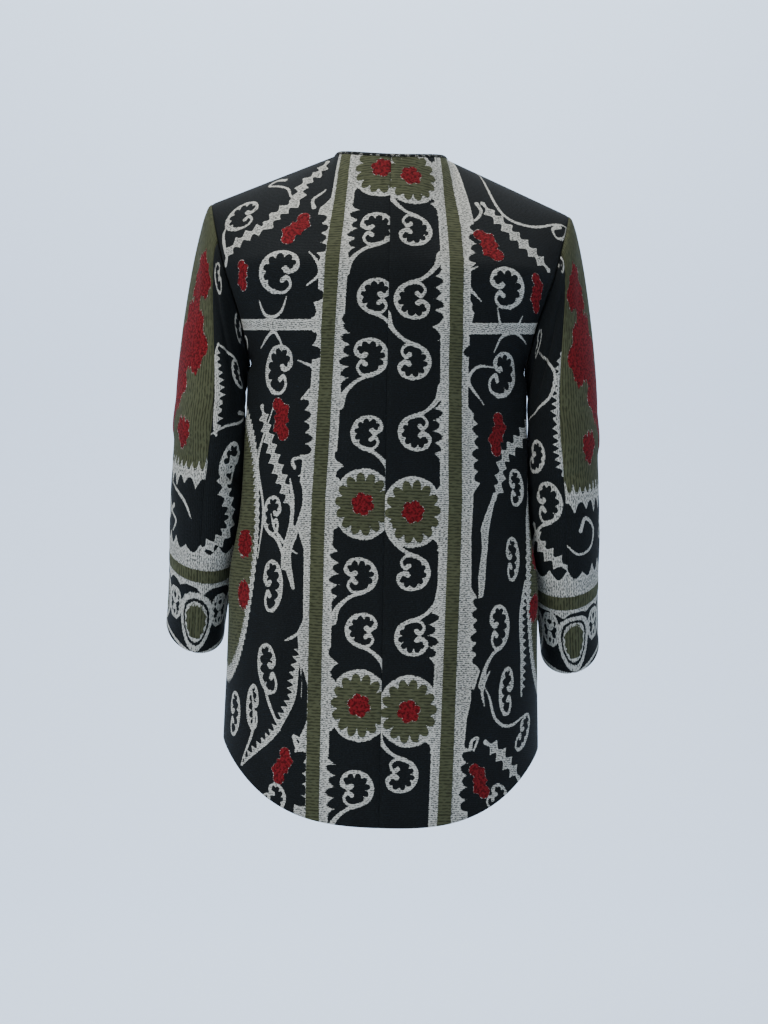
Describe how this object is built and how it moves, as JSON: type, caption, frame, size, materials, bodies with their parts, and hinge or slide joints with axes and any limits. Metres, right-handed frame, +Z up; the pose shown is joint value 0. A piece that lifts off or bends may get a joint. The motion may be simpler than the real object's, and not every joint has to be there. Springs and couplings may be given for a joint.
{
  "type": "collarless jacket",
  "caption": "Hip-length collarless woven jacket with set-in sleeves and a shirt-tail hem, hollow in its worn form, for dressing a figure or stand.",
  "frame": {"origin": "midway between the two points where the shoulder seams meet the neckline, where a wearer's neck and shoulders hold the jacket up", "axes": "+Z up the body, +Y out of the back and -Y out of the front, +X towards the wearer's left"},
  "size_m": [0.5143, 0.2742, 0.7709],
  "materials": {
    "body_jacquard": "matt heavy jacquard weave in black, pale grey, olive and dark red",
    "sleeve_jacquard": "the same jacquard, turned a quarter, with more olive and dark red",
    "neck_binding": "matt black flat-woven tape with small pale flecks"
  },
  "bodies": {
    "root": {"back_left": "body_jacquard", "back_right": "body_jacquard", "front_left": "body_jacquard", "front_right": "body_jacquard", "sleeve_under_left": "sleeve_jacquard", "sleeve_top_left": "sleeve_jacquard", "sleeve_under_right": "sleeve_jacquard", "sleeve_top_right": "sleeve_jacquard", "neck_binding": "neck_binding"}
  },
  "joints": []
}
